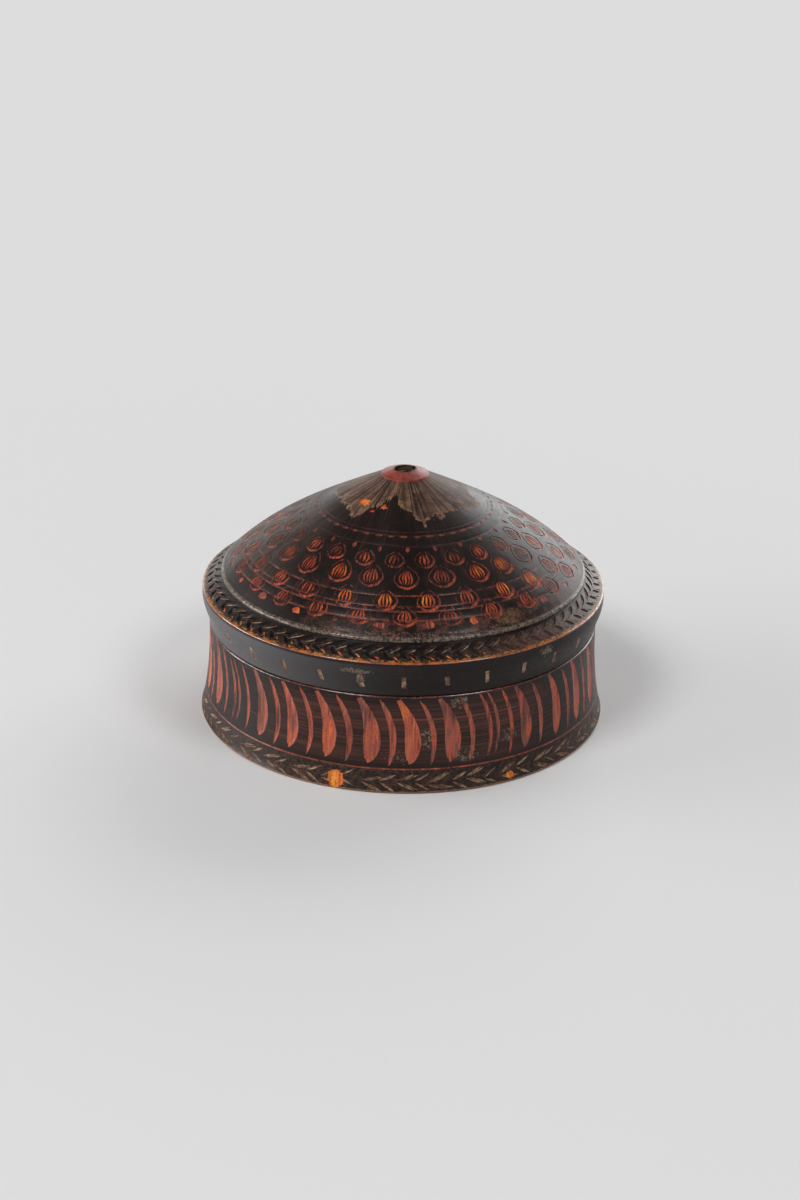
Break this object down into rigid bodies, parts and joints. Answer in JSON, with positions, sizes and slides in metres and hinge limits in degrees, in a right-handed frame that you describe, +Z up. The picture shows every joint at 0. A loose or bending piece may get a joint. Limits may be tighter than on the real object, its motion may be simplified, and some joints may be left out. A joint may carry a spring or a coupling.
{
  "type": "lidded box",
  "caption": "Round lathe-turned lacquer box with a shallow conical lift-off lid, a sloping rim and a flared wall.",
  "frame": {"origin": "on the box's axis, in the plane of the foot ring that it stands on", "axes": "+Z up along the axis; -Y is the side that the picture shows"},
  "size_m": [0.142, 0.142, 0.0881],
  "materials": {
    "base_lac": "black lac over red lac on turned wood, cut through in curved strokes, semi-gloss and worn",
    "lid_lac": "black lac over red lac on turned wood, cut through in small pointed ovals, semi-gloss and worn",
    "bare_wood": "torn end grain, grey-brown and dull"
  },
  "bodies": {
    "base_body": {"base": "base_lac"},
    "lid_body": {"lid": "lid_lac", "finial_stub": "bare_wood"}
  },
  "joints": [
    {"name": "lid_lift", "type": "slide", "parent": "base_body", "child": "lid_body", "axis": [0, 0, 1], "range_m": [0, 0.1]}
  ]
}
